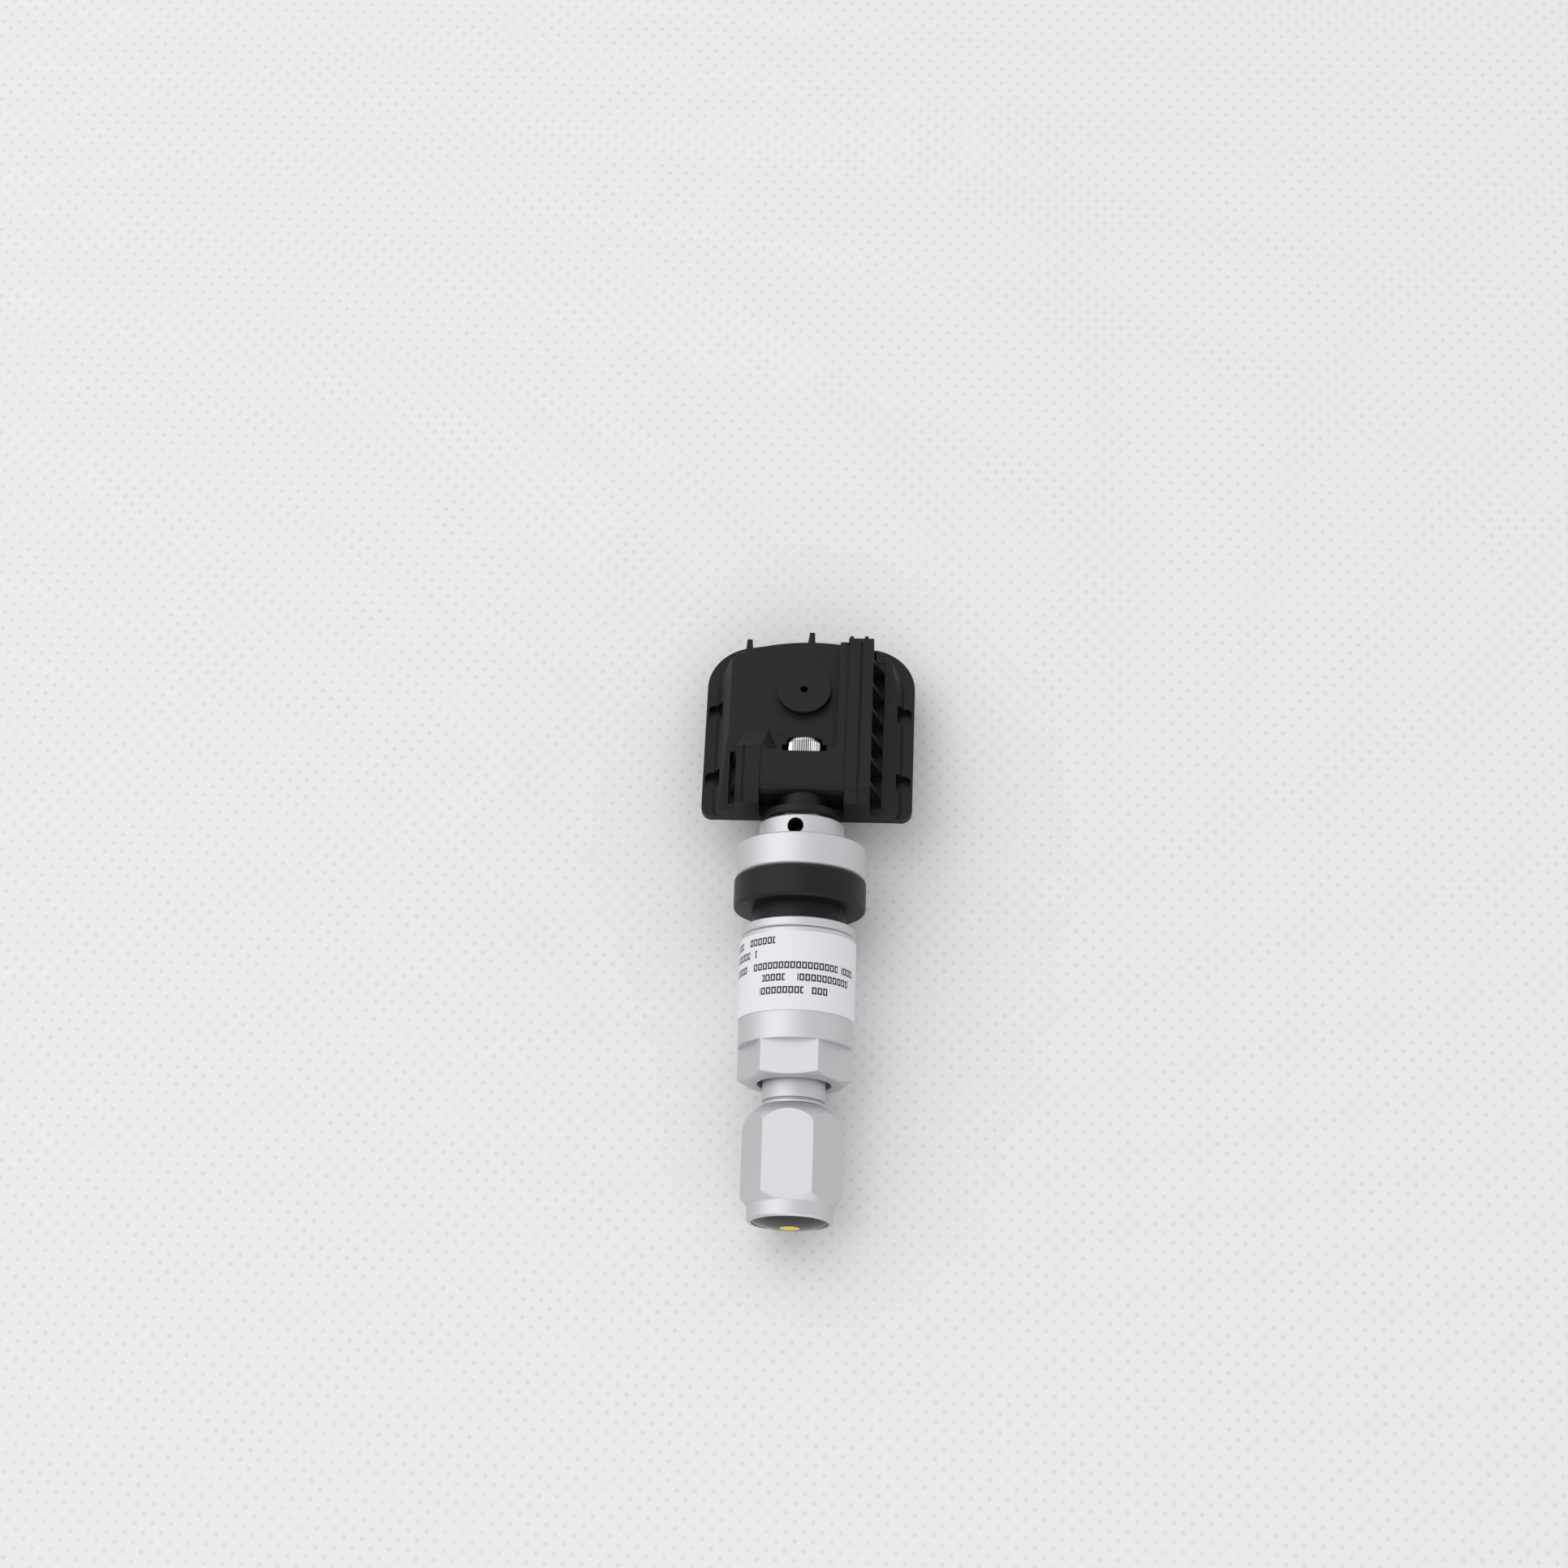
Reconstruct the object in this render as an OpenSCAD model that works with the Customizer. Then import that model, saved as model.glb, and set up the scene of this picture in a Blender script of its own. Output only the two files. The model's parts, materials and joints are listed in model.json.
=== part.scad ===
// Clamp-in tyre pressure sensor with a metal valve, lying with its stem level.
// The stem's axis is Y, the cap points to -Y and the pressure port faces up.
// The origin lies on that axis, in the face of the seal that seats on the rim.
// Places along the stem are written t: millimetres from the ring's inner face,
// growing towards the cap. The housing has a frame of its own: x across, y away
// from the cap along its base, z square to its base, tipped about X.

/* [Stem] */
// Diameter of the ring with the air hole
ring_d = 11.2; // [9.5:0.1:12]
// Length of that ring
ring_len = 3.2; // [2.8:0.1:5]
// Diameter of the air hole drilled across the ring
air_hole_d = 2.1; // [1.5:0.1:2.4]
// Turn of the air hole from straight up
air_hole_turn = 7; // [0:1:30]
// Diameter of the flange that carries the seal
flange_d = 17; // [15:0.1:19]
// Length of that flange
flange_len = 4.4; // [3:0.1:6]
// Diameter of the shank that the nut runs on
shank_d = 8.2; // [8:0.1:8.6]
// Diameter of the thread that the cap runs on
tip_d = 7.7; // [7.6:0.1:7.9]
// Bore of the air way
air_way_d = 3; // [2.4:0.1:3.2]
// Width across the flats of the hexagon that stops the housing turning
base_hex_af = 7; // [6:0.1:7.4]
// Length of that hexagon
base_hex_len = 1.5; // [1:0.1:2.2]
// Diameter of the spigot that enters the housing
spigot_d = 4.6; // [4:0.1:5]
// Length of that spigot
spigot_len = 4; // [3:0.1:5]

/* [Seal, washer and nut] */
// Diameter of the seal's flange
seal_d = 17.4; // [15:0.1:19]
// Length of the seal's flange
seal_len = 4.3; // [3:0.1:6]
// Diameter of the seal's neck, which fills the rim's hole
seal_neck_d = 12.4; // [11.5:0.1:13]
// Length of the seal's neck
seal_neck_len = 2.45; // [1.5:0.05:4]
// Diameter of the washer
washer_d = 14.9; // [13:0.1:16]
// Thickness of the washer
washer_len = 1.25; // [0.8:0.05:2]
// Diameter of the nut's sleeve
sleeve_d = 15; // [14.6:0.1:16]
// Length of the nut's sleeve
sleeve_len = 14.9; // [8:0.1:18]
// Width across the flats of the nut
nut_af = 13; // [12.4:0.1:14]
// Length of the nut's hexagon
nut_hex_len = 4.7; // [3:0.1:7]
// Bore of the nut at both ends, round its thread
nut_relief_d = 9.6; // [9:0.1:11]
// Length of the nut's thread
nut_thread_len = 11.5; // [6:0.1:13]
// Length of the label
label_len = 10.5; // [6:0.1:12]
// Thickness of the label
label_wall = 0.1; // [0.05:0.05:0.3]

/* [Cap] */
// Length of the stem's neck that shows between the nut and the cap
neck_shown = 3.1; // [2.8:0.1:6]
// Length of the cap
cap_len = 15; // [13.5:0.1:18]
// Width across the flats of the cap
cap_af = 11.4; // [10.4:0.1:12.5]
// Diameter of the cap's mouth
cap_mouth_d = 8.8; // [8.6:0.1:9.4]
// Length of the shoulder, up to the full corners
cap_shoulder_len = 3.2; // [2:0.1:4]
// Diameter of the cap's end ring
cap_ring_d = 11.3; // [10.8:0.05:11.4]
// Length of the cap's end ring
cap_ring_len = 2.1; // [1:0.1:3]
// Diameter of the badge in the cap's end
badge_d = 10; // [8:0.1:10.2]
// Thickness of the badge at its edge
badge_wall = 0.7; // [0.4:0.1:1]
// Height of the badge's dome
badge_dome = 0.8; // [0.1:0.05:1]
// Thickness of the cap's rubber disc
cap_seal_len = 1.2; // [0.6:0.1:1.6]

/* [Valve core] */
// Diameter of the core's thread
core_d = 5.2; // [5:0.1:5.3]
// Length of the core's thread
core_thread_len = 3.3; // [2:0.1:4]
// Height of the core's seal
core_seal_len = 1.1; // [0.8:0.1:1.6]
// Length of the barrel below its seal
barrel_len = 4.2; // [3:0.1:6]
// Bore of the chamber below the core's seat
chamber_d = 4.3; // [4:0.1:4.5]
// Diameter of the pin
pin_d = 1.2; // [1:0.1:1.4]
// Length of the pin's rubber cup
cup_len = 1.4; // [1:0.1:2]
// Length of the spring
spring_len = 4.6; // [3:0.1:6]
// Diameter of the spring
spring_d = 3.6; // [3.4:0.1:3.8]

/* [Housing] */
// Tip of the housing's base from the stem's axis
tip_angle = 13.5; // [9:0.5:16]
// Width of the rim flange
rim_w = 28; // [26.6:0.1:32]
// Depth of the rim flange
rim_l = 27.4; // [26:0.1:30]
// Shift of the housing's middle from the stem's axis
rim_shift = 0.5; // [0:0.1:1]
// Thickness of the rim flange
rim_wall = 1.2; // [0.8:0.1:1.4]
// Height of the flange's upper face, from the point where the stem's axis enters
rim_top = -0.4; // [-0.6:0.1:0]
// Height of the channel floor above that point
floor_h = 2.6; // [2:0.1:3]
// Height of the two rails
rail_h = 4.6; // [4.3:0.1:5.2]
// Height of the bridge over the screw
bridge_h = 4.4; // [4.1:0.1:5]
// Depth of the lower shell below the flange
shell_h = 4.6; // [4.5:0.1:6.5]
// Wall of the lower shell's bottom
shell_floor = 0.9; // [0.7:0.1:1.2]
// Diameter of the boss round the stem's axis
boss_d = 6.8; // [6.4:0.1:7.6]
// Diameter of the collar that faces the stem
collar_d = 10; // [9.4:0.1:10.4]
// Diameter of the port's raised disc
port_d = 7.2; // [6:0.1:8]
// Height of the port's disc above the channel floor
port_h = 1.1; // [0.5:0.1:1.5]
// Diameter of the port's hole
port_hole_d = 1; // [0.6:0.1:1.4]
// Number of ribs beside the long rail
rib_count = 6; // [3:1:8]
// Thickness of a rib
rib_wall = 0.5; // [0.3:0.1:0.8]

/* [Screw] */
// Diameter of the screw
screw_d = 2.5; // [2:0.1:3]
// Length of the screw below its head
screw_len = 9.4; // [8.6:0.1:9.6]
// Diameter of the screw's head
head_d = 4.3; // [4:0.1:4.6]
// Height of the screw's head
head_len = 2.4; // [1.5:0.1:2.5]
// Number of grooves in the head's knurl
knurl_count = 44; // [24:2:60]

/* [Electronics] */
// Thickness of the circuit board
board_wall = 0.8; // [0.6:0.1:0.9]
// How much narrower the battery is than its room
battery_room = 3; // [2:0.1:6]
// Thickness of the contact tabs
tab_wall = 0.2; // [0.1:0.05:0.3]
// Side of the pressure chip
chip_side = 5; // [4:0.1:6]
// Height of the pressure chip
chip_h = 1.6; // [1:0.1:2]

/* [Hidden] */
$fn = 96;

fit = 0.08;      // running gap on a radius
slip = 0.02;     // gap on a radius between pieces that don't move
cut = 1;         // how far a cut runs past the face it opens
chamfer = 0.3;
nut_hex_turn = 4.5;
cap_hex_turn = 4;

// Places along the stem
t_flange = ring_len;
t_seal = t_flange + flange_len;
t_seat = t_seal + seal_len;
t_washer = t_seat + seal_neck_len;
t_nut = t_washer + washer_len;
t_hex = t_nut + sleeve_len;
t_nut_end = t_hex + nut_hex_len;
t_cap = t_nut_end + neck_shown;
t_cap_end = t_cap + cap_len;
t_badge = t_cap_end - badge_wall - 0.1;
cap_wall_end = 2.2;
t_cap_seal_end = t_badge - cap_wall_end;
t_tip = t_cap_seal_end - cap_seal_len;

// Places inside the valve
core_below_tip = 0.6;
pin_below_tip = 0.3;
pin_tail = 1;
barrel_r = 1.5;
spring_wire = 0.5;
t_core_top = t_tip - core_below_tip;
t_core_seat = t_core_top - core_thread_len;
t_barrel_end = t_core_seat - barrel_len - core_seal_len;
t_cup = t_barrel_end - cup_len;
t_spring = t_cup - spring_len;

// The nut's thread, between its two reliefs
nut_relief_len = 1.7;
t_thread_end = t_nut_end - nut_relief_len;
t_thread = t_thread_end - nut_thread_len;

// Where the stem meets the housing
collar_len = 1;
hex_shown = 0.6;
boss_shown = 1.5;
t_collar = -hex_shown;
t_boss = t_collar - collar_len;
t_enter = t_boss - boss_shown;
t_spigot_end = -base_hex_len - spigot_len;

// The screw's head seats this far behind the point where the axis enters
head_seat = 6.4;
t_head = t_enter - head_seat;
head_room = 0.2;
head_round = 0.6;
pocket_len = head_len + head_room;
pocket_half_w = head_d / 2 + head_room;
pocket_depth = head_d / 2 + head_room;
pocket_round = 0.7;
ear_half_w = pocket_half_w + 0.6;
pocket_ear_len = 1.5;

// Plan of the housing
near_y = -1.9;
corner_near = 1.5;
corner_far = 6.5;
far_bow_r = 42;
rim_left = rim_shift - rim_w / 2;
rim_right = rim_shift + rim_w / 2;
rim_far = near_y + rim_l;
strip_w = 1.45;
side_slope = 1.85;
far_strip = 1.5;
far_bevel = 0.3;
cover_corner = 7.4;
cover_bow_r = 28.5;
rim_low = rim_top - rim_wall;
shell_low = rim_low - shell_h;
shell_inset = 1.6;
shell_draft = 1;
shell_round = 0.8;
cavity_inset = 4.2;

// Rails, as places across the housing
rail_out = 8.9;
long_rail_in = 5.5;
long_strip_in = 4.4;
short_rail_in = -5.7;
bridge_l = 5.8;
rail_far = rim_far - 2.25;
rail_front_h = 3.4;
ramp_near = 6.1;
ramp_far = 9.9;
ramp_skew = 1.3;
long_rail_lines = [long_rail_in, 7.3];
short_rail_line = -7.85;
groove_w = 0.3;
groove_h = 0.3;
bridge_fillet = 1.3;
rib_reach = 1.8;
rib_near = 0.8;
rib_far = rail_far - 3.3;
short_trench_w = 0.95;
long_trench_out = rail_out + 1.5;
short_trench_far = 6.5;
notch_len = 2.6;
notch_w = 1.9;
notch_lip = 0.35;
notch_depth = 0.85;
port_y = rim_far - 9.9;
port_x = -0.3;

// Heights of the low shelves beside the rails, as [y, z]
long_shelf = [[near_y - 5, 0.15], [13, 0.25], [16.4, 0.6], [19.6, 2.1], [rail_far, 2.6]];
short_shelf = [[near_y - 5, 1], [near_y + 1, 1.1], [short_trench_far + 3.5, 2.6]];

// Heights inside the housing
roof = floor_h - 1.2;
board_low = rim_low - board_wall;
battery_high = board_low - tab_wall;
shell_inner = shell_low + shell_floor;
battery_low = shell_inner + tab_wall;
battery_d = min(rim_w, rim_l) - 2 * cavity_inset - battery_room;
coil_y = rim_far - 6.6;
battery_x = rim_shift;
battery_y = near_y + rim_l / 2 + 0.2;

function arc(c, r, a, b, n = 8) = [
    for (i = [0:n]) c + r * [cos(a + (b - a) * i / n), sin(a + (b - a) * i / n)]
];

// Children are drawn with +Z towards the cap and +Y up
module on_axis(t) translate([0, t_seat - t, 0]) rotate([90, 0, 0]) children();

// A turned piece, from points of radius and t
module turned(points) on_axis(0) rotate_extrude() polygon(points);

module bore(d, from, to) on_axis(from) cylinder(d = d, h = to - from);

module hexagon(af, from, to, turn = 0) on_axis(from) rotate([0, 0, turn])
    cylinder(d = af / cos(30), h = to - from, $fn = 6);

// Children are drawn in the housing's own frame
module in_housing() translate([0, t_seat - t_enter, 0]) rotate([-tip_angle, 0, 0]) children();

// Plan of the housing, drawn in from the rim flange's edge by an inset
module plan(inset, inset_near, inset_far, corner, bow) {
    left = rim_left + inset;
    right = rim_right - inset;
    near = near_y + inset_near;
    far = rim_far - inset_far;
    r_far = corner - inset / 2;
    r_near = corner_near;
    half = (right - left) / 2 - r_far;
    bow_y = far - bow;
    mid = (left + right) / 2;
    // the far corners touch the bow without a kink
    y_far = bow_y + sqrt(pow(bow - r_far, 2) - pow(half, 2));
    translate([left, near + r_near]) square([right - left, y_far - near - r_near]);
    translate([left + r_near, near]) square([right - left - 2 * r_near, y_far - near]);
    for (x = [left + r_near, right - r_near]) translate([x, near + r_near]) circle(r = r_near);
    for (x = [left + r_far, right - r_far]) translate([x, y_far]) circle(r = r_far);
    intersection() {
        translate([mid, bow_y]) circle(r = bow, $fn = 240);
        translate([left, y_far - 0.1]) square([right - left, r_far + bow]);
        polygon([[mid, bow_y], [mid - 2 * half, 2 * y_far - bow_y], [mid + 2 * half, 2 * y_far - bow_y]]);
    }
}

module even_plan(inset) plan(inset, inset, inset, corner_far, far_bow_r - inset);

// A prism across the housing from x = a to b, whose side view is given as [y, z]
module across(a, b, points) translate([a, 0, 0]) rotate([90, 0, 90]) linear_extrude(b - a) polygon(points);

module block(low, high) translate(low) cube(high - low);

// The upper body, from the flange up to the channel floor, with sloping sides
module cover() {
    slab = 0.01;
    left = rim_left + strip_w;
    right = rim_right - strip_w;
    intersection() {
        hull() {
            translate([0, 0, rim_top - 0.1]) linear_extrude(floor_h - far_bevel - rim_top)
                plan(strip_w - 0.2, 0, far_strip, cover_corner, cover_bow_r);
            translate([0, 0, floor_h - slab]) linear_extrude(slab)
                plan(strip_w - 0.2, 0, far_strip + far_bevel, cover_corner, cover_bow_r);
        }
        translate([0, rim_far, 0]) rotate([90, 0, 0]) linear_extrude(rim_l + cut) polygon([
            [left, rim_low], [left, rim_top],
            [left + side_slope, floor_h], [left + side_slope, floor_h + cut],
            [right - side_slope, floor_h + cut], [right - side_slope, floor_h],
            [right, rim_top], [right, rim_low]
        ]);
    }
}

// What is cut away above a shelf beside a rail, from x = a to b
module over_shelf(a, b, line) across(a, b, concat(
    line, [[line[len(line) - 1][0], 2 * rail_h], [line[0][0], 2 * rail_h]]
));

// A notch in the flange and the sloping side, sheer at its far end, with a lip left outside
module side_notch(y, side) {
    outer = side > 0 ? rim_right - notch_lip : rim_left + notch_lip;
    r = 0.8;
    intersection() {
        across(outer - notch_w, outer + notch_w, [
            [y, floor_h], [y, rim_top - notch_depth],
            [y - notch_len, rim_top + 0.02], [y - notch_len, floor_h]
        ]);
        translate([outer - side * notch_w / 2, y - notch_len, -rail_h]) linear_extrude(3 * rail_h) union() {
            translate([-notch_w / 2, 0]) square([notch_w, notch_len - r]);
            translate([-notch_w / 2 + (side > 0 ? 0 : r), 0]) square([notch_w - r, notch_len]);
            translate([side * (notch_w / 2 - r), notch_len - r]) circle(r = r);
        }
    }
}

// A rail over the bridge, whose front end slopes down to the edge of the flange
module rail(a, b, far, h) across(a, b, [
    [near_y, rim_low + 0.2], [near_y, rail_front_h], [0.1, h], [far, h], [far, rim_low + 0.2]
]);

// The short rail's far end, a ramp that swings inwards, and the wing from it to the bridge
module ramp() {
    slab = 0.01;
    low = floor_h - 0.6;
    wing = bridge_fillet + 0.9;
    hull() {
        block([-rail_out, ramp_near - slab, low], [short_rail_in, ramp_near, rail_h]);
        block([ramp_skew - rail_out + 0.1, ramp_far - slab, low], [short_rail_in + 0.9, ramp_far, floor_h]);
    }
    hull() {
        block([short_rail_in - 0.5, bridge_l - 1, low], [short_rail_in + 0.3, ramp_near, bridge_h]);
        block([short_rail_in, bridge_l - 1, low], [short_rail_in + wing, bridge_l + 0.3, floor_h + 0.1]);
        block([short_rail_in, ramp_far - slab, low], [short_rail_in + 0.9, ramp_far, floor_h]);
    }
}

// Fills the corner between the bridge's far edge and a rail with a hollow curve
module corner_fill(x, side) translate([x, bridge_l, floor_h - 0.5]) linear_extrude(bridge_h - floor_h + 0.5)
    difference() {
        translate([side < 0 ? -bridge_fillet : -0.1, -0.1]) square(bridge_fillet + 0.1);
        translate([side * bridge_fillet, bridge_fillet]) circle(r = bridge_fillet);
    }

// A thin triangular rib from the rail's side down to the shelf
module rib(x, y, out) translate([x, y + rib_wall / 2, 0]) rotate([90, 0, 0]) linear_extrude(rib_wall)
    polygon([
        [-0.2 * sign(out), rim_top - 0.1], [-0.2 * sign(out), rail_h - 0.15],
        [0, rail_h - 0.15], [out, rim_top - 0.1]
    ]);

// A tapered sliver left by the mould at the far end
module moulding_fin(x, from, z, length, w) translate([x, from, z]) linear_extrude(1.4)
    polygon([[-w / 2, -0.8], [w / 2, -0.8], [w * 0.35, length], [-w * 0.35, length]]);

// A groove along a rail's top and down its front slope
module rail_line(x, far) across(x - groove_w / 2, x + groove_w / 2, [
    [near_y - cut, rail_front_h - groove_h - 0.55 * cut], [0.1, rail_h - groove_h], [far, rail_h - groove_h],
    [far, rail_h + cut], [near_y - cut, rail_h + cut]
]);

// The flange, the body with its shelves, the bridge and the rails
module shell_with_rails() {
    translate([0, 0, rim_low]) linear_extrude(rim_wall) even_plan(0);
    difference() {
        cover();
        over_shelf(rail_out - 0.1, rim_right, long_shelf);
        over_shelf(rim_left, 0.1 - rail_out, short_shelf);
    }
    // bridge over the screw, with its front rounded down to the boss
    across(short_rail_in - cut, long_rail_in + cut, concat(
        [[near_y + 1.2, rim_low + 0.3], [near_y + 1.3, 2.6]], arc([1, bridge_h - 1.3], 1.3, 160, 90, 5),
        [[bridge_l, bridge_h], [bridge_l, rim_low + 0.3]]
    ));
    corner_fill(long_strip_in, -1);
    corner_fill(short_rail_in, 1);
    rail(long_rail_in, rail_out, rail_far, rail_h);
    across(long_strip_in, rail_out - cut, [
        [near_y + 1.3, rim_low + 0.25], [0.6, bridge_h],
        [rail_far - 0.5, bridge_h], [rail_far - 0.5, rim_low + 0.25]
    ]);
    rail(-rail_out, short_rail_in, ramp_near, rail_h);
    ramp();
}

module housing_top() {
    color([0.17, 0.17, 0.175]) difference() {
        union() {
            difference() {
                in_housing() shell_with_rails();
                // the front is open between the rails, round the boss and the collar
                in_housing()
                    block([short_rail_in, near_y - cut, rim_top], [long_rail_in, near_y + 1.5, rail_h + cut]);
            }
            bore(boss_d, t_enter - 0.6, t_boss + 0.1);
            bore(collar_d, t_boss, t_collar);
        }
        in_housing() {
            block([-rail_out - short_trench_w, near_y + 1, 0.25],
                [-rail_out, short_trench_far, floor_h + cut]);
            block([rail_out, near_y + 1.2, rim_top - 0.05], [long_trench_out, rail_far - 0.7, rail_h]);
            for (x = long_rail_lines) rail_line(x, rail_far - 0.8);
            rail_line(short_rail_line, ramp_near);
            for (y = [rim_far - 10.25, 4.7], side = [-1, 1]) side_notch(y, side);
            // room for the electronics
            translate([0, 0, rim_low - cut]) linear_extrude(roof - rim_low + cut) board_bay(0);
            translate([port_x, port_y, roof - cut])
                cylinder(d = port_hole_d, h = port_h + floor_h - roof + 2 * cut);
        }
        // window over the screw's head, square to the stem's axis
        translate([0, t_seat - t_head, 0]) screw_window();
        bore(screw_d + 0.3, t_head - cut, t_enter);
        bore(spigot_d + 2 * fit, t_spigot_end - 0.2, t_collar + cut);
        hexagon(base_hex_af + 2 * fit, -base_hex_len, t_collar + cut);
    }
    color([0.17, 0.17, 0.175]) in_housing() {
        translate([port_x, port_y, floor_h]) difference() {
            cylinder(d = port_d, h = port_h);
            translate([0, 0, -cut]) cylinder(d = port_hole_d, h = port_h + 2 * cut);
        }
        for (i = [0:rib_count - 1])
            rib(rail_out, rib_near + (rib_far - rib_near) * i / (rib_count - 1), rib_reach);
        for (y = [1.1, 5.4]) rib(-rail_out, y, -short_trench_w);
        moulding_fin(0.45, rim_far - far_strip, floor_h - 1.5, 1.45, 1);
        moulding_fin(-7.95, rim_far - far_strip - 1.2, floor_h - 1.5, 1.4, 1);
        for (x = [5.9, 7.9]) moulding_fin(x, rail_far, rail_h - 1.5, 0.45, 0.7);
    }
}

// Plan and depth of the window round the screw's head
module screw_window() {
    r = pocket_round;
    translate([0, 0, -pocket_depth]) linear_extrude(pocket_depth + 3 * rail_h) {
        translate([-pocket_half_w, 0]) square([2 * pocket_half_w, pocket_len - r]);
        translate([-ear_half_w, 0]) square([2 * ear_half_w, pocket_ear_len]);
        translate([r - pocket_half_w, 0]) square([2 * (pocket_half_w - r), pocket_len]);
        for (x = [r - pocket_half_w, pocket_half_w - r]) translate([x, pocket_len - r]) circle(r = r);
    }
}

// Plan of the space over the board, beyond the screw's window
module board_bay(inset) {
    r = 1;
    near = 11.2 + inset;
    far = rim_far - 3.5 - inset;
    left = rim_left + 5.2 + inset;
    right = rim_right - 6.8 - inset;
    translate([left, near + r]) square([right - left, far - near - 2 * r]);
    translate([left + r, near]) square([right - left - 2 * r, far - near]);
    for (x = [left + r, right - r], y = [near + r, far - r]) translate([x, y]) circle(r = r);
}

module housing_base() {
    slab = 0.01;
    color([0.15, 0.15, 0.155]) difference() {
        in_housing() difference() {
            hull() {
                translate([0, 0, rim_low - slab]) linear_extrude(slab) even_plan(shell_inset);
                translate([0, 0, shell_low + shell_round]) linear_extrude(slab)
                    even_plan(shell_inset + shell_draft);
                translate([0, 0, shell_low]) linear_extrude(slab)
                    even_plan(shell_inset + shell_draft + shell_round);
            }
            translate([0, 0, shell_inner]) linear_extrude(shell_h) even_plan(cavity_inset);
        }
        bore(boss_d + 4 * fit, t_enter - 0.7, t_boss + cut);
    }
}

module circuit_board() color([0.1, 0.35, 0.2]) in_housing() translate([0, 0, board_low])
    linear_extrude(board_wall) even_plan(cavity_inset + fit);

module battery() color([0.75, 0.76, 0.78]) in_housing() translate([battery_x, battery_y, battery_low]) {
    lid_r = battery_d / 2 - 0.9;
    height = battery_high - battery_low;
    rotate_extrude() polygon([
        [0, 0], [battery_d / 2 - 0.3, 0], [battery_d / 2, 0.3], [battery_d / 2, height - 0.5],
        [battery_d / 2 - 0.4, height - 0.2], [lid_r, height - 0.2], [lid_r - 0.2, height], [0, height]
    ]);
}

module battery_tab_lower() color([0.8, 0.78, 0.7]) in_housing() {
    side = battery_x + battery_d / 2 + 0.5;
    block([battery_x - 4, battery_y - 2, shell_inner], [side + tab_wall, battery_y + 2, battery_low]);
    block([side, battery_y - 2, shell_inner], [side + tab_wall, battery_y + 2, board_low]);
}

module battery_tab_upper() color([0.8, 0.78, 0.7]) in_housing()
    block([battery_x - 5.5, battery_y - 2, battery_high], [battery_x + 5.5, battery_y + 2, board_low]);

module pressure_chip() color([0.12, 0.12, 0.12]) in_housing() translate([port_x, port_y, rim_low])
    difference() {
        translate([-chip_side / 2, -chip_side / 2, 0]) cube([chip_side, chip_side, chip_h]);
        translate([0, 0, chip_h / 2]) cylinder(d = port_hole_d, h = chip_h);
    }

module port_seal() color([0.75, 0.3, 0.2]) in_housing() translate([port_x, port_y, rim_low + chip_h])
    difference() {
        cylinder(d = chip_side - 0.6, h = roof - rim_low - chip_h);
        translate([0, 0, -cut]) cylinder(d = port_hole_d + 0.8, h = roof + 2 * cut + 2);
    }

module lf_coil() color([0.35, 0.2, 0.12]) in_housing() translate([rim_left + 6.5, coil_y, rim_low]) {
    cheek = [1.2, 2.6, 2.4];
    core = [6.4, 2, 1.8];
    cube(cheek);
    translate([core[0], 0, 0]) cube(cheek);
    translate([cheek[0] / 2, (cheek[1] - core[1]) / 2, (cheek[2] - core[2]) / 2]) cube(core);
}

module crystal() color([0.8, 0.8, 0.82]) in_housing() translate([rim_right - 11.5, coil_y, rim_low])
    cube([3.2, 2.5, 0.9]);

module antenna() color([0.8, 0.65, 0.35]) in_housing() {
    wall = 0.4;
    left = rim_left + 5.8;
    right = rim_right - 7.4;
    near = 11.8;
    high = rim_low + 2.2;
    block([left, near, rim_low], [right, near + wall, high]);
    block([right - wall, near, rim_low], [right, rim_far - 4.3, high]);
    block([left, near, rim_low], [left + wall, rim_far - 8.1, high]);
}

module fixing_screw() color([0.86, 0.87, 0.88]) {
    notch_r = 0.12;
    difference() {
        turned(concat(
            [[0, t_head - head_len]],
            arc([head_d / 2 - head_round, t_head - head_len + head_round], head_round, -90, 0, 5),
            [
                [head_d / 2, t_head], [screw_d / 2, t_head], [screw_d / 2, t_head + screw_len - 0.3],
                [screw_d / 2 - 0.3, t_head + screw_len], [0, t_head + screw_len]
            ]
        ));
        hexagon(2, t_head - head_len - cut, t_head - head_len + 1.3);
        for (i = [0:knurl_count - 1])
            on_axis(t_head - head_len + head_round) rotate([0, 0, 360 * i / knurl_count])
            translate([head_d / 2 + 0.02, 0, 0]) rotate([0, 0, 45]) translate([-notch_r, -notch_r, 0])
            cube([2 * notch_r, 2 * notch_r, head_len]);
    }
}

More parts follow.
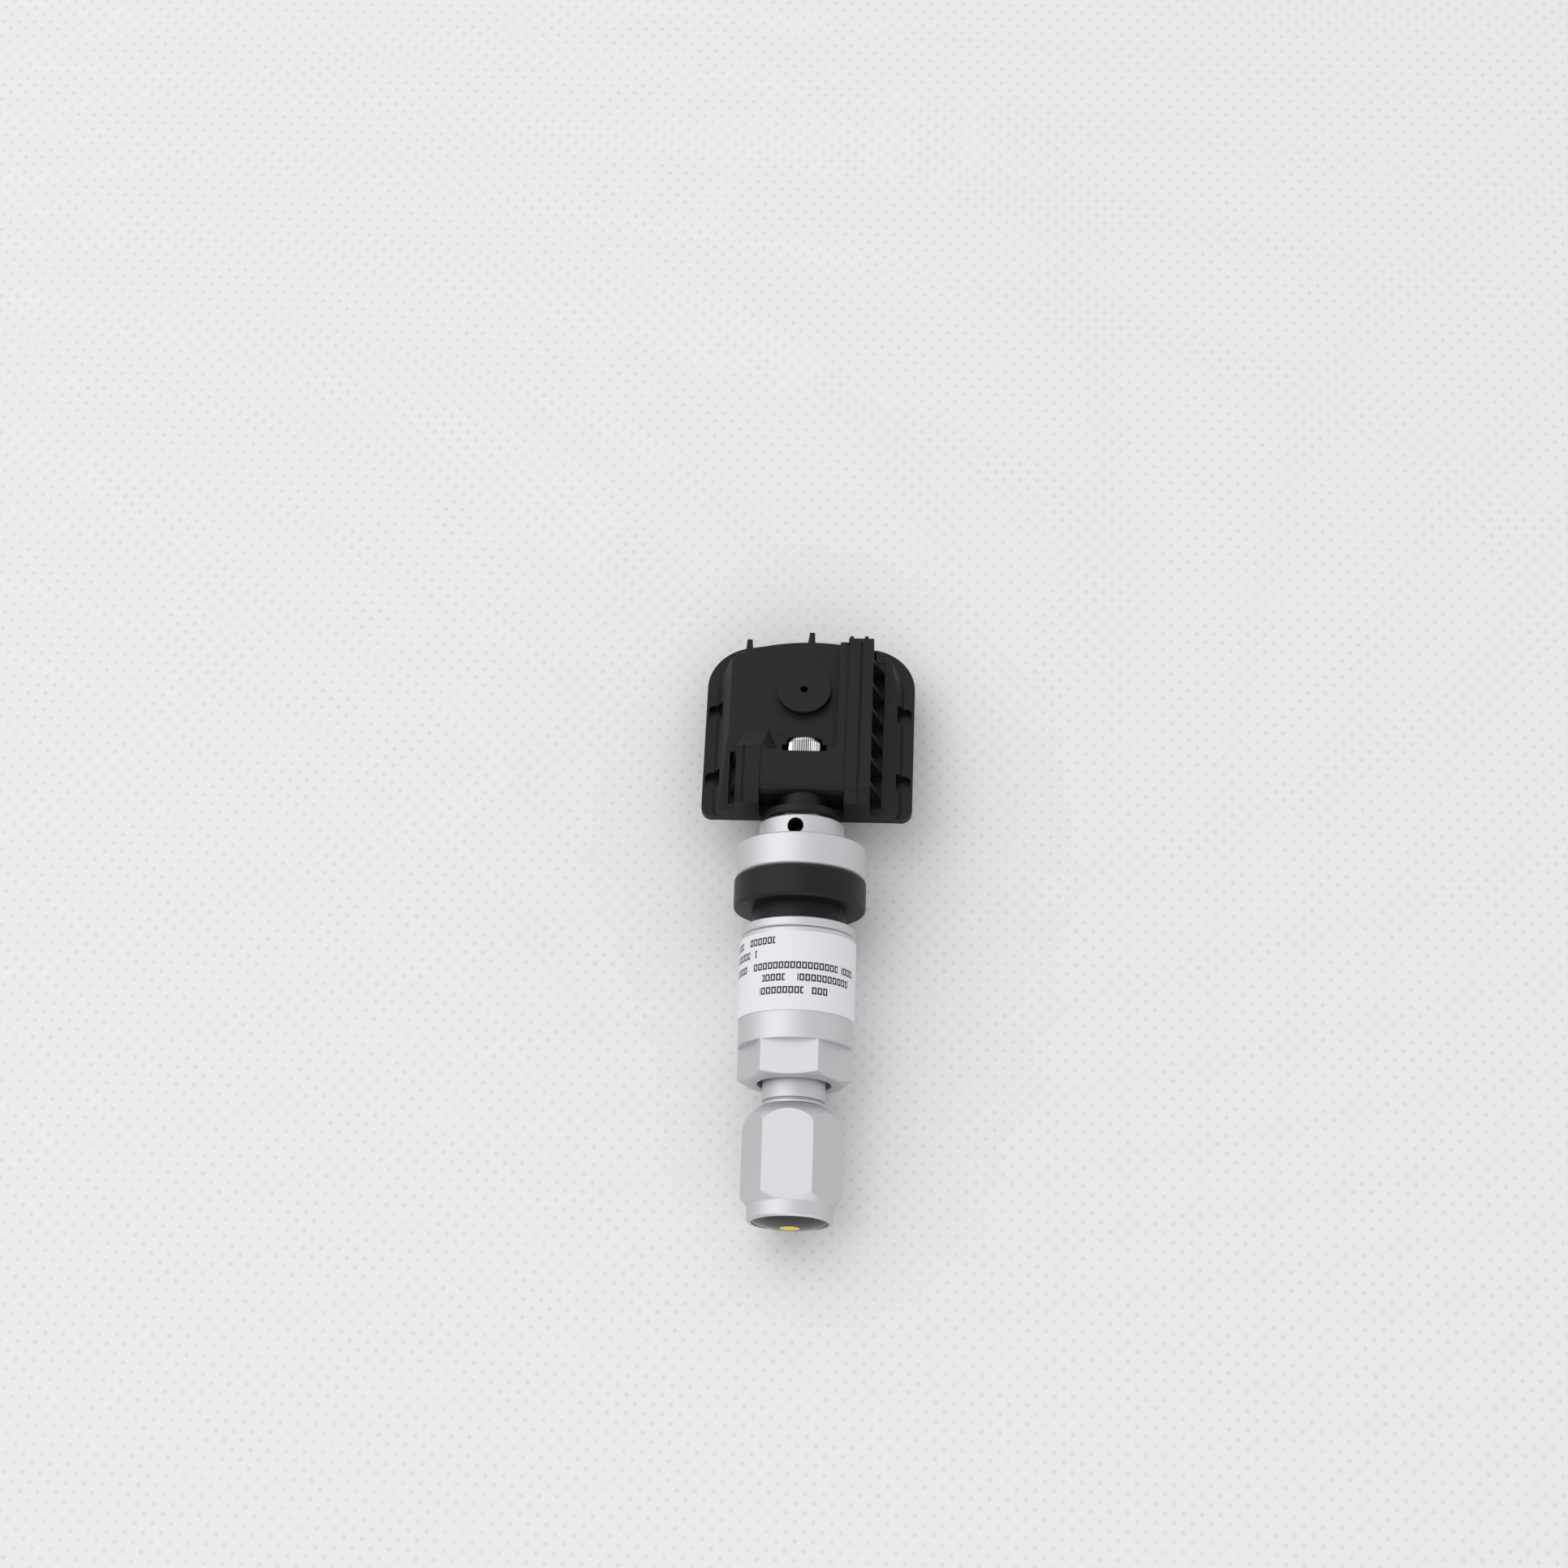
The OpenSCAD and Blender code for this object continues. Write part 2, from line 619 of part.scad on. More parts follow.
module valve_stem() {
    hole_t = ring_len / 2;
    color([0.84, 0.85, 0.86]) difference() {
        union() {
            turned([
                [0, t_spigot_end], [spigot_d / 2 - 0.2, t_spigot_end], [spigot_d / 2, t_spigot_end + 0.2],
                [spigot_d / 2, -0.2], [ring_d / 2 - 0.2, 0], [ring_d / 2, 0.2], [ring_d / 2, t_flange],
                [flange_d / 2 - 0.2, t_flange], [flange_d / 2, t_flange + 0.2],
                [flange_d / 2, t_seal - chamfer], [flange_d / 2 - chamfer, t_seal], [shank_d / 2, t_seal],
                [shank_d / 2, t_cap - 0.8], [shank_d / 2 - 0.25, t_cap - 0.75],
                [shank_d / 2 - 0.25, t_cap - 0.55], [shank_d / 2, t_cap - 0.5],
                [shank_d / 2, t_cap - 0.12], [tip_d / 2, t_cap - 0.08], [tip_d / 2, t_tip - 0.4],
                [tip_d / 2 - 0.4, t_tip], [0, t_tip]
            ]);
            hexagon(base_hex_af, -base_hex_len, cut);
        }
        bore(screw_d, t_spigot_end - cut, t_head + screw_len + 0.3);
        bore(air_way_d, hole_t - 0.7, t_tip);
        bore(chamber_d, t_spring, t_tip);
        bore(core_d, t_core_seat, t_tip + cut);
        turned([
            [0, t_core_seat - core_seal_len], [chamber_d / 2, t_core_seat - core_seal_len],
            [core_d / 2, t_core_seat], [0, t_core_seat]
        ]);
        on_axis(hole_t) rotate([0, 0, air_hole_turn]) rotate([-90, 0, 0]) translate([0, 0, air_way_d / 3])
            cylinder(d = air_hole_d, h = ring_d);
    }
}

module grommet() {
    r = 0.5;
    color([0.15, 0.15, 0.16]) turned(concat(
        [[shank_d / 2 + slip, t_seal]],
        arc([seal_d / 2 - r, t_seal + r], r, -90, 0),
        arc([seal_d / 2 - r, t_seat - r], r, 0, 90),
        [
            [seal_neck_d / 2, t_seat], [seal_neck_d / 2, t_washer - 0.2],
            [seal_neck_d / 2 - 0.2, t_washer], [shank_d / 2 + slip, t_washer]
        ]
    ));
}

module nut_washer() color([0.84, 0.85, 0.86]) turned([
    [shank_d / 2 + fit, t_washer], [washer_d / 2 - 0.15, t_washer], [washer_d / 2, t_washer + 0.15],
    [washer_d / 2, t_nut - 0.15], [washer_d / 2 - 0.15, t_nut], [shank_d / 2 + fit, t_nut]
]);

module collar_nut() color([0.82, 0.83, 0.84]) difference() {
    union() {
        turned([
            [0, t_nut], [sleeve_d / 2 - 0.25, t_nut], [sleeve_d / 2, t_nut + 0.25],
            [sleeve_d / 2, t_hex], [0, t_hex]
        ]);
        intersection() {
            hexagon(nut_af, t_hex - cut, t_nut_end, nut_hex_turn);
            turned([
                [0, t_hex - cut], [sleeve_d / 2, t_hex - cut], [sleeve_d / 2, t_nut_end - 0.55],
                [nut_af / 2 - 0.35, t_nut_end], [0, t_nut_end]
            ]);
        }
    }
    bore(nut_relief_d, t_nut - cut, t_thread);
    bore(shank_d + 2 * fit, t_thread - cut, t_thread_end + cut);
    bore(nut_relief_d, t_thread_end, t_nut_end + cut);
}

module label() {
    wrap = 340;
    label_start = 0.8;
    color([0.93, 0.93, 0.94]) on_axis(t_nut + label_start) rotate([0, 0, 90 - wrap / 2])
        rotate_extrude(angle = wrap) translate([sleeve_d / 2 + slip, 0]) square([label_wall, label_len]);
}

module core_barrel() color([0.85, 0.72, 0.4]) {
    low_r = spring_d / 2;
    difference() {
        union() {
            turned([
                [0, t_barrel_end], [low_r, t_barrel_end], [low_r, t_barrel_end + 0.8],
                [barrel_r, t_barrel_end + 1.2], [barrel_r, t_core_seat], [core_d / 2 - 2 * slip, t_core_seat],
                [core_d / 2 - 2 * slip, t_core_top - 1.4], [0, t_core_top - 1.4]
            ]);
            intersection() {
                bore(3.6, t_core_top - 1.5, t_core_top);
                on_axis(t_core_top - 1.5) translate([-cut, -2 * cut, 0]) cube([2 * cut, 4 * cut, 2]);
            }
        }
        bore(pin_d + 2 * fit, t_barrel_end - cut, t_core_top + cut);
    }
}

module core_seal() color([0.9, 0.9, 0.88]) turned([
    [barrel_r + slip, t_core_seat - core_seal_len], [chamber_d / 2 - 2 * slip, t_core_seat - core_seal_len],
    [core_d / 2 - 2 * slip, t_core_seat], [barrel_r + slip, t_core_seat]
]);

module core_pin() color([0.85, 0.72, 0.4]) turned([
    [0, t_spring - pin_tail], [pin_d / 2 - 0.2, t_spring - pin_tail],
    [pin_d / 2, t_spring - pin_tail + 0.3], [pin_d / 2, t_tip - pin_below_tip - 0.2],
    [pin_d / 2 - 0.2, t_tip - pin_below_tip], [0, t_tip - pin_below_tip]
]);

module core_cup() color([0.7, 0.2, 0.15]) turned([
    [pin_d / 2, t_cup], [spring_d / 2, t_cup], [spring_d / 2, t_barrel_end - 0.2],
    [spring_d / 2 - 0.2, t_barrel_end], [pin_d / 2, t_barrel_end]
]);

module core_spring() color([0.8, 0.8, 0.82]) turned([
    [spring_d / 2 - spring_wire, t_spring], [spring_d / 2, t_spring],
    [spring_d / 2, t_cup], [spring_d / 2 - spring_wire, t_cup]
]);

module valve_cap() {
    corner_r = cap_af / cos(30) / 2;
    color([0.8, 0.81, 0.83]) difference() {
        intersection() {
            hexagon(cap_af, t_cap - cut, t_cap_end + cut, cap_hex_turn);
            turned(concat(
                [[0, t_cap]],
                [for (i = [0:8]) [
                    corner_r - (corner_r - cap_mouth_d / 2 - 0.1) * pow(1 - i / 8, 2),
                    t_cap + cap_shoulder_len * i / 8
                ]],
                [
                    [corner_r, t_cap_end - cap_ring_len - 1.1], [cap_ring_d / 2, t_cap_end - cap_ring_len],
                    [cap_ring_d / 2, t_cap_end - 0.25], [cap_ring_d / 2 - 0.25, t_cap_end], [0, t_cap_end]
                ]
            ));
        }
        bore(tip_d + 2 * fit, t_cap - cut, t_cap_seal_end);
        bore(badge_d + 2 * slip, t_badge, t_cap_end + cut);
    }
}

module cap_seal() color([0.12, 0.12, 0.12]) bore(tip_d - 0.5, t_tip, t_cap_seal_end);

module cap_badge() {
    dome_r = (pow(badge_d / 2, 2) + pow(badge_dome, 2)) / (2 * badge_dome);
    color([0.08, 0.08, 0.08]) intersection() {
        bore(badge_d, t_badge, t_cap_end + badge_dome);
        on_axis(t_badge + badge_wall + badge_dome - dome_r) sphere(r = dome_r, $fn = 200);
    }
}

housing_top();
housing_base();
fixing_screw();
circuit_board();
battery();
battery_tab_lower();
battery_tab_upper();
pressure_chip();
port_seal();
lf_coil();
crystal();
antenna();
valve_stem();
grommet();
nut_washer();
collar_nut();
label();
core_barrel();
core_seal();
core_pin();
core_cup();
core_spring();
valve_cap();
cap_seal();
cap_badge();
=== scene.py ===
# A clamp-in tyre pressure sensor: a metal valve with its seal, clamping nut and cap,
# and the black sensor housing screwed to its inner end. It lies on a pale floor.
import json
import math

import bmesh
import bpy
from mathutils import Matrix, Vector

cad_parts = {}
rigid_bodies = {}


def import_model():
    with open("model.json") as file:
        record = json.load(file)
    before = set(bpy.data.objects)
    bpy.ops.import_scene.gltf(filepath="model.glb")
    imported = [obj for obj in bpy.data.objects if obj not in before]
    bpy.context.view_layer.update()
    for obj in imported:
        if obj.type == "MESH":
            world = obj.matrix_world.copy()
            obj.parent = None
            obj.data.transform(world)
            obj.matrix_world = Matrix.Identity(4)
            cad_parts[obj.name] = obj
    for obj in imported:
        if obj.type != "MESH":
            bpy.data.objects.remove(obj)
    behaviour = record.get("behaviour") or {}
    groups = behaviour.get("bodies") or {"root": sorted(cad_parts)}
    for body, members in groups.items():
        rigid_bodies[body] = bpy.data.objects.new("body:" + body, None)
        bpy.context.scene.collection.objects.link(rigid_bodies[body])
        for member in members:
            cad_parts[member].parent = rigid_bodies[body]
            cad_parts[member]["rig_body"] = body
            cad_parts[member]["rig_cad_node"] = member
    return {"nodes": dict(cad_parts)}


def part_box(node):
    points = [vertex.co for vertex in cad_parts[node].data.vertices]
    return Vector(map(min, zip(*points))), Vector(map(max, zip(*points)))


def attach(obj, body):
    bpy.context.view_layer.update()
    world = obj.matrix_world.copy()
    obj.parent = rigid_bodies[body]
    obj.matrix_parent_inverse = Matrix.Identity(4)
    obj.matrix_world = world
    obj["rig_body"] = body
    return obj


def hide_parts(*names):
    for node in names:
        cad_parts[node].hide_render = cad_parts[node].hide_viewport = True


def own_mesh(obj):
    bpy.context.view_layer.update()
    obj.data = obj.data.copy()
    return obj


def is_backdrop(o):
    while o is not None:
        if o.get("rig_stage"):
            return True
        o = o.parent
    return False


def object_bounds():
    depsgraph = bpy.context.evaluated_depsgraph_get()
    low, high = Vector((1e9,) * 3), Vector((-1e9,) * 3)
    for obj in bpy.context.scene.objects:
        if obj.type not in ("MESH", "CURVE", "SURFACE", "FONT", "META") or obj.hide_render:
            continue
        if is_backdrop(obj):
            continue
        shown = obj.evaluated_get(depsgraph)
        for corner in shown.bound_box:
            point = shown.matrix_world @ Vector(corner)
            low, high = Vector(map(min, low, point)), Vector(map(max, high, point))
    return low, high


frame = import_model()
cad_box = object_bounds()
scene = bpy.context.scene
scene.view_settings.view_transform = "Standard"

# The camera stands over the cap end and looks down the valve through a long lens,
# rolled a little, as the photograph was taken.
camera_place = (0.0182, -0.1337, 0.4854)
camera_turn = (17.37, 1.89, 1.80)
camera_lens, film_width = 87.9, 36
bpy.ops.object.select_all(action="DESELECT")
bpy.ops.object.camera_add(location=camera_place, rotation=[math.radians(turn) for turn in camera_turn])
camera = bpy.context.object
camera.data.lens = camera_lens
camera.data.sensor_width = film_width
camera.data.clip_start = 0.01
scene.camera = camera

# The floor is a pale cloth with faint pressed dots. The sensor rests on it by the far
# edge of its housing and by the nut, so it slopes under a stem that is drawn level.


class Amount:
    """A number worked out in a material's nodes, so that shader maths reads as Python."""

    def __init__(self, finish, socket):
        self.finish = finish
        self.socket = socket

    def __add__(self, other):
        return self.finish.maths("ADD", self, other)

    __radd__ = __add__

    def __sub__(self, other):
        return self.finish.maths("SUBTRACT", self, other)

    def __rsub__(self, other):
        return self.finish.maths("SUBTRACT", other, self)

    def __mul__(self, other):
        return self.finish.maths("MULTIPLY", self, other)

    __rmul__ = __mul__

    def __gt__(self, other):
        return self.finish.maths("GREATER_THAN", self, other)

    def __lt__(self, other):
        return self.finish.maths("LESS_THAN", self, other)

    def __abs__(self):
        return self.finish.maths("ABSOLUTE", self)


class Finish:
    """A procedural material, named for the surface that it gives."""

    def __init__(self, name, colour, roughness, metallic=0.0, specular=0.5):
        self.material = bpy.data.materials.new(name)
        self.material.use_nodes = True
        self.tree = self.material.node_tree
        self.shader = self.tree.nodes["Principled BSDF"]
        self.set("Base Color", (*colour, 1))
        self.set("Roughness", roughness)
        self.set("Metallic", metallic)
        self.set("Specular IOR Level", specular)

    def node(self, kind, settings, sockets):
        made = self.tree.nodes.new(kind)
        for name, value in settings.items():
            setattr(made, name, value)
        for name, value in sockets.items():
            self.join(made.inputs[name], value)
        return made

    def join(self, socket, value):
        if isinstance(value, Amount):
            value = value.socket
        if isinstance(value, bpy.types.NodeSocket):
            self.tree.links.new(value, socket)
        else:
            socket.default_value = value

    def set(self, socket, value):
        self.join(self.shader.inputs[socket], value)

    def maths(self, operation, a, b=0.0):
        return Amount(self, self.node("ShaderNodeMath", {"operation": operation}, {0: a, 1: b}).outputs[0])

    def places(self):
        """The place on the piece, as three amounts in millimetres."""
        where = self.node("ShaderNodeTexCoord", {}, {}).outputs["Object"]
        parts = self.node("ShaderNodeSeparateXYZ", {}, {"Vector": where})
        return [Amount(self, parts.outputs[axis]) * 1000 for axis in "XYZ"]

    def noise(self, size, detail=2.0, stretch=(1, 1, 1)):
        """Soft noise from 0 to 1, whose blotches are about size millimetres across."""
        where = self.node("ShaderNodeTexCoord", {}, {}).outputs["Object"]
        scale = [1000 / size * amount for amount in stretch]
        spread = self.node("ShaderNodeMapping", {}, {"Vector": where, "Scale": scale}).outputs[0]
        made = self.node("ShaderNodeTexNoise", {}, {"Vector": spread, "Scale": 1.0, "Detail": detail})
        return Amount(self, made.outputs[0])

    def mix(self, amount, first, second):
        sockets = {0: amount, 6: (*first, 1), 7: (*second, 1)}
        return self.node("ShaderNodeMix", {"data_type": "RGBA"}, sockets).outputs[2]

    def bump(self, height, depth, strength=1.0):
        """Height is from 0 to 1 and depth in millimetres."""
        sockets = {"Height": height, "Distance": depth / 1000, "Strength": strength}
        self.set("Normal", self.node("ShaderNodeBump", {}, sockets).outputs[0])


def paint(thing, finish):
    """Gives a piece or a solid one finish all over."""
    thing.data.materials.clear()
    thing.data.materials.append(finish.material)


solids = frame["nodes"].values()
feet = [solid.matrix_world @ point.co for solid in solids for point in solid.data.vertices]
heel = min(feet, key=lambda foot: foot.z)
floor_slope = max((heel.z - foot.z) / (heel.y - foot.y) for foot in feet if foot.y < 0)
floor_width = 4
floor_turn = (math.atan(floor_slope), 0, 0)
bpy.ops.mesh.primitive_plane_add(size=floor_width, location=(0, heel.y, heel.z), rotation=floor_turn)
floor = bpy.context.object
floor.name = "floor"
cloth_white, dot_grey = (0.80, 0.80, 0.80), (0.68, 0.68, 0.68)
dots_across, dots_along, dot_edge = 2.7, 2.6, 0.5
pale_cloth = Finish("pale_cloth", cloth_white, 0.9, specular=0.1)
cloth_x, cloth_y = pale_cloth.places()[:2]
dot_rows = pale_cloth.maths("SINE", cloth_x * dots_across) * pale_cloth.maths("SINE", cloth_y * dots_along)
dots = pale_cloth.maths("MAXIMUM", dot_rows - dot_edge, 0) * pale_cloth.noise(6.0, 2) * 3
pale_cloth.set("Base Color", pale_cloth.mix(dots, cloth_white, dot_grey))
pale_cloth.bump(pale_cloth.noise(1.2, 3) - dots, 0.03, 0.4)
paint(floor, pale_cloth)
floor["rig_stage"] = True

# One wide soft lamp stands at the upper left and a weak one in front of the cap, and a
# white sky fills the rest. Metal and resin see it brighter than matt surfaces do.
lamps = [((-0.72, 0.42, 0.92), 1.5, 6.2), ((0.15, -1.0, 0.45), 1.2, 3.2)]
for lamp_place, lamp_size, lamp_energy in lamps:
    bpy.ops.object.light_add(type="AREA", location=lamp_place)
    lamp = bpy.context.object
    lamp.rotation_euler = (-lamp.location).to_track_quat("-Z", "Y").to_euler()
    lamp.data.size = lamp_size
    lamp.data.energy = lamp_energy
sky = bpy.data.worlds.new("white_sky")
sky.use_nodes = True
scene.world = sky
sky_colour, sky_fill, sky_seen = (0.98, 0.99, 1, 1), 0.76, 0.88
sky_tree = sky.node_tree
rays = sky_tree.nodes.new("ShaderNodeLightPath")
seen = sky_tree.nodes.new("ShaderNodeMath")
seen.operation = "MAXIMUM"
sky_tree.links.new(rays.outputs["Is Camera Ray"], seen.inputs[0])
sky_tree.links.new(rays.outputs["Is Glossy Ray"], seen.inputs[1])
through = sky_tree.nodes.new("ShaderNodeMath")
through.operation = "MAXIMUM"
sky_tree.links.new(seen.outputs[0], through.inputs[0])
sky_tree.links.new(rays.outputs["Is Transmission Ray"], through.inputs[1])
level = sky_tree.nodes.new("ShaderNodeMapRange")
level.inputs["To Min"].default_value = sky_fill
level.inputs["To Max"].default_value = sky_seen
sky_tree.links.new(through.outputs[0], level.inputs["Value"])
sky_tree.links.new(level.outputs[0], sky_tree.nodes["Background"].inputs["Strength"])
sky_tree.nodes["Background"].inputs["Color"].default_value = sky_colour

# The housing is two shells of black glass-filled nylon, welded along the rim flange.
# The upper one carries the rails, the bridge over the screw and the pressure port.
sharp_turn, pointed_turn, onward_turn = math.radians(32), math.radians(50), math.radians(150)
room_across, room_beside = 1.2, 1.1


def mark_edges(piece, width):
    """Marks the sharp edges that have room to be rounded, and leaves those that meet in a point."""
    shape = bmesh.new()
    shape.from_mesh(piece.data)
    marks = shape.edges.layers.float.new("bevel_weight_edge")
    sharp = []
    for edge in shape.edges:
        if edge.is_manifold and edge.calc_face_angle() > sharp_turn:
            room = min(face.calc_area() for face in edge.link_faces) / edge.calc_length()
            if room > width * room_across:
                sharp.append(edge)
    for edge in sharp:
        edge.tag = True
    for edge in sharp:
        crowded = False
        for point in edge.verts:
            along = edge.other_vert(point).co - point.co
            for other in point.link_edges:
                if other is not edge:
                    beside = other.other_vert(point).co - point.co
                    turn = along.angle(beside)
                    if other.tag:
                        crowded = crowded or turn < pointed_turn
                    elif turn < onward_turn:
                        crowded = crowded or beside.length * math.sin(turn) < width * room_beside
        edge[marks] = 0 if crowded else 1
    shape.to_mesh(piece.data)
    shape.free()


def soften(node, name, body, width, finish, flat_faces=False):
    """Copies a solid and rounds its sharp edges over, as moulding or tumbling leaves them."""
    bpy.ops.object.select_all(action="DESELECT")
    solid = frame["nodes"][node]
    solid.select_set(True)
    bpy.context.view_layer.objects.active = solid
    bpy.ops.object.duplicate()
    piece = bpy.context.object
    piece.name = name
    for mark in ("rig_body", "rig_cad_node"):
        del piece[mark]
    piece.parent = None
    bpy.ops.object.mode_set(mode="EDIT")
    bpy.ops.mesh.select_all(action="SELECT")
    bpy.ops.mesh.remove_doubles(threshold=0.000005)
    bpy.ops.mesh.dissolve_degenerate(threshold=0.00001)
    bpy.ops.mesh.customdata_custom_splitnormals_clear()
    bpy.ops.mesh.dissolve_limited(angle_limit=math.radians(0.6))
    bpy.ops.mesh.quads_convert_to_tris(quad_method="BEAUTY", ngon_method="BEAUTY")
    bpy.ops.object.mode_set(mode="OBJECT")
    bpy.ops.object.shade_smooth_by_angle(angle=math.radians(26))
    mark_edges(piece, width / 1000)
    rounding = piece.modifiers.new("rounding", "BEVEL")
    rounding.width = width / 1000
    rounding.segments = 2
    rounding.limit_method = "WEIGHT"
    rounding.use_clamp_overlap = False
    rounding.harden_normals = not flat_faces
    bpy.ops.object.modifier_apply(modifier=rounding.name)
    if flat_faces:
        bpy.ops.object.shade_smooth_by_angle(angle=math.radians(10))
    paint(piece, finish)
    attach(piece, body)
    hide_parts(node)


nylon_edge = 0.07
moulded_nylon = Finish("moulded_nylon", (0.006, 0.006, 0.006), 0.42, specular=0.24)
nylon_grain = moulded_nylon.noise(0.11, 3)
nylon_flow = moulded_nylon.noise(4.5, 3, (1, 0.5, 1))
moulded_nylon.set("Roughness", 0.34 + nylon_flow * 0.16 + nylon_grain * 0.06)
moulded_nylon.set("Base Color", moulded_nylon.mix(nylon_flow, (0.005, 0.005, 0.005), (0.008, 0.008, 0.008)))
moulded_nylon.bump(nylon_grain, 0.012, 0.5)
for node, shell in (("housing_top", "housing_upper_shell"), ("housing_base", "housing_lower_shell")):
    soften(node, shell, "sensor", nylon_edge, moulded_nylon, flat_faces=True)

# The screw that holds the housing to the valve is bright plated steel with a knurled head. The knurl's
# grooves are painted dark grey, as painted shade in the grooves.
steel_bright, groove_shade_grey = (0.80, 0.81, 0.82), (0.16, 0.16, 0.165)
knurl_ridges, knurl_start = 44, 19
plated_steel = Finish("plated_steel", steel_bright, 0.22, 1.0)
steel_x, steel_y, steel_z = plated_steel.places()
round_head = plated_steel.maths("ARCTAN2", steel_x, steel_z) * (knurl_ridges / (2 * math.pi))
# Painted shade: the knurl's grooves are painted dark grey instead of bright steel.
knurl_groove_shade = (abs(plated_steel.maths("FRACT", round_head) - 0.5) > 0.27) * (steel_y > knurl_start)
plated_steel.set("Base Color", plated_steel.mix(knurl_groove_shade, steel_bright, groove_shade_grey))
plated_steel.set("Roughness", 0.16 + plated_steel.noise(0.3, 2) * 0.16)
plated_steel.bump(plated_steel.noise(0.05, 2), 0.004, 0.4)
paint(frame["nodes"]["fixing_screw"], plated_steel)

# The board and what is soldered to it are sealed in the housing: a green glass fibre
# board, a moulded pressure chip, a wound coil, a can crystal and a strip antenna.
solder_resist = Finish("solder_resist", (0.012, 0.10, 0.04), 0.35)
board_weave = solder_resist.noise(0.4, 1, (1, 4, 1))
solder_resist.set("Base Color", solder_resist.mix(board_weave, (0.008, 0.075, 0.03), (0.02, 0.14, 0.06)))
solder_resist.bump(board_weave, 0.01, 0.3)
paint(frame["nodes"]["circuit_board"], solder_resist)
chip_resin = Finish("chip_resin", (0.015, 0.015, 0.016), 0.55)
chip_resin.bump(chip_resin.noise(0.08, 2), 0.01, 0.5)
paint(frame["nodes"]["pressure_chip"], chip_resin)
wound_wire = Finish("wound_wire", (0.30, 0.09, 0.03), 0.3)
wire_turns = wound_wire.maths("SINE", wound_wire.places()[0] * 40)
wound_wire.bump(wire_turns * 0.5 + 0.5, 0.04, 0.8)
paint(frame["nodes"]["lf_coil"], wound_wire)
tinned_metal = Finish("tinned_metal", (0.70, 0.69, 0.66), 0.3, 1.0)
tinned_metal.set("Roughness", 0.22 + tinned_metal.noise(0.5, 3) * 0.2)
for name in ("crystal", "battery_tab_lower", "battery_tab_upper"):
    paint(frame["nodes"][name], tinned_metal)
spring_brass = Finish("spring_brass", (0.72, 0.50, 0.20), 0.3, 1.0)
spring_brass.set("Roughness", 0.2 + spring_brass.noise(0.6, 3) * 0.22)
paint(frame["nodes"]["antenna"], spring_brass)

# The battery is a lithium coin in a drawn steel can, and a soft red gasket leads the
# air from the port down to the chip.
drawn_steel = Finish("drawn_steel", (0.66, 0.67, 0.68), 0.3, 1.0)
drawn_steel.set("Roughness", 0.2 + drawn_steel.noise(0.25, 2, (1, 1, 6)) * 0.25)
paint(frame["nodes"]["battery"], drawn_steel)
soft_silicone = Finish("soft_silicone", (0.42, 0.07, 0.04), 0.55)
soft_silicone.bump(soft_silicone.noise(0.2, 2), 0.02, 0.4)
paint(frame["nodes"]["port_seal"], soft_silicone)

# The valve stem, the washer and the clamping nut are turned from aluminium bar, bead
# blasted and anodised clear, which leaves a fine even satin. Inside the air hole and in
# the undercut by the cap the satin is painted darker, as painted shade.
hole_place, hole_reach, ring_inside = 10.3, 1.3, 5.45
undercut_place, undercut_reach, neck_outside = -25.75, 0.14, 4.0
tip_outside, tip_start, thread_pitch = 3.9, -26.3, 0.79
satin_metal = Finish("satin_metal", (0.59, 0.595, 0.605), 0.5, 1.0)
satin_grain = satin_metal.noise(0.07, 2)
satin_cloud = satin_metal.noise(3.0, 3)
satin_metal.set("Roughness", 0.46 + satin_cloud * 0.08 + satin_grain * 0.06)
metal_x, metal_y, metal_z = satin_metal.places()
from_axis = satin_metal.maths("SQRT", metal_x * metal_x + metal_z * metal_z)
# Painted shade: the inside of the air hole is painted near black.
hole_shade = (abs(metal_y - hole_place) < hole_reach) * (from_axis < ring_inside)
# Painted shade: the undercut by the cap's mouth is painted a quarter of the way to near black.
undercut_shade = (abs(metal_y - undercut_place) < undercut_reach) * (from_axis < neck_outside)
blasted = satin_metal.mix(satin_cloud, (0.572, 0.577, 0.587), (0.608, 0.613, 0.623))
painted_shade_mix = {0: hole_shade + undercut_shade * 0.25, 6: blasted, 7: (0.08, 0.08, 0.083, 1)}
satin_metal.set("Base Color", satin_metal.node("ShaderNodeMix", {"data_type": "RGBA"}, painted_shade_mix).outputs[2])
thread_turn = satin_metal.maths("ARCTAN2", metal_x, metal_z) * (1 / (2 * math.pi))
thread_wave = abs(satin_metal.maths("FRACT", metal_y * (1 / thread_pitch) + thread_turn + 100) - 0.5) * 2
on_tip = (from_axis < tip_outside) * (metal_y < tip_start)
satin_metal.bump(satin_grain * 0.03 + thread_wave * on_tip, 0.2, 0.45)
soften("valve_stem", "stem_turned", "sensor", 0.08, satin_metal)
soften("nut_washer", "washer_turned", "washer", 0.06, satin_metal)
soften("collar_nut", "nut_turned", "nut", 0.12, satin_metal)

# The seal is one moulding of black rubber, with a flange inside the rim and a neck
# that is squeezed into the valve hole.
seal_rubber = Finish("seal_rubber", (0.006, 0.006, 0.007), 0.42, specular=0.24)
rubber_skin = seal_rubber.noise(0.2, 3)
rubber_bloom = seal_rubber.noise(5.0, 3)
seal_rubber.set("Roughness", 0.36 + rubber_bloom * 0.16)
seal_rubber.set("Base Color", seal_rubber.mix(rubber_bloom, (0.005, 0.005, 0.006), (0.008, 0.008, 0.009)))
seal_rubber.bump(rubber_skin, 0.01, 0.35)
paint(frame["nodes"]["grommet"], seal_rubber)
paint(frame["nodes"]["cap_seal"], seal_rubber)

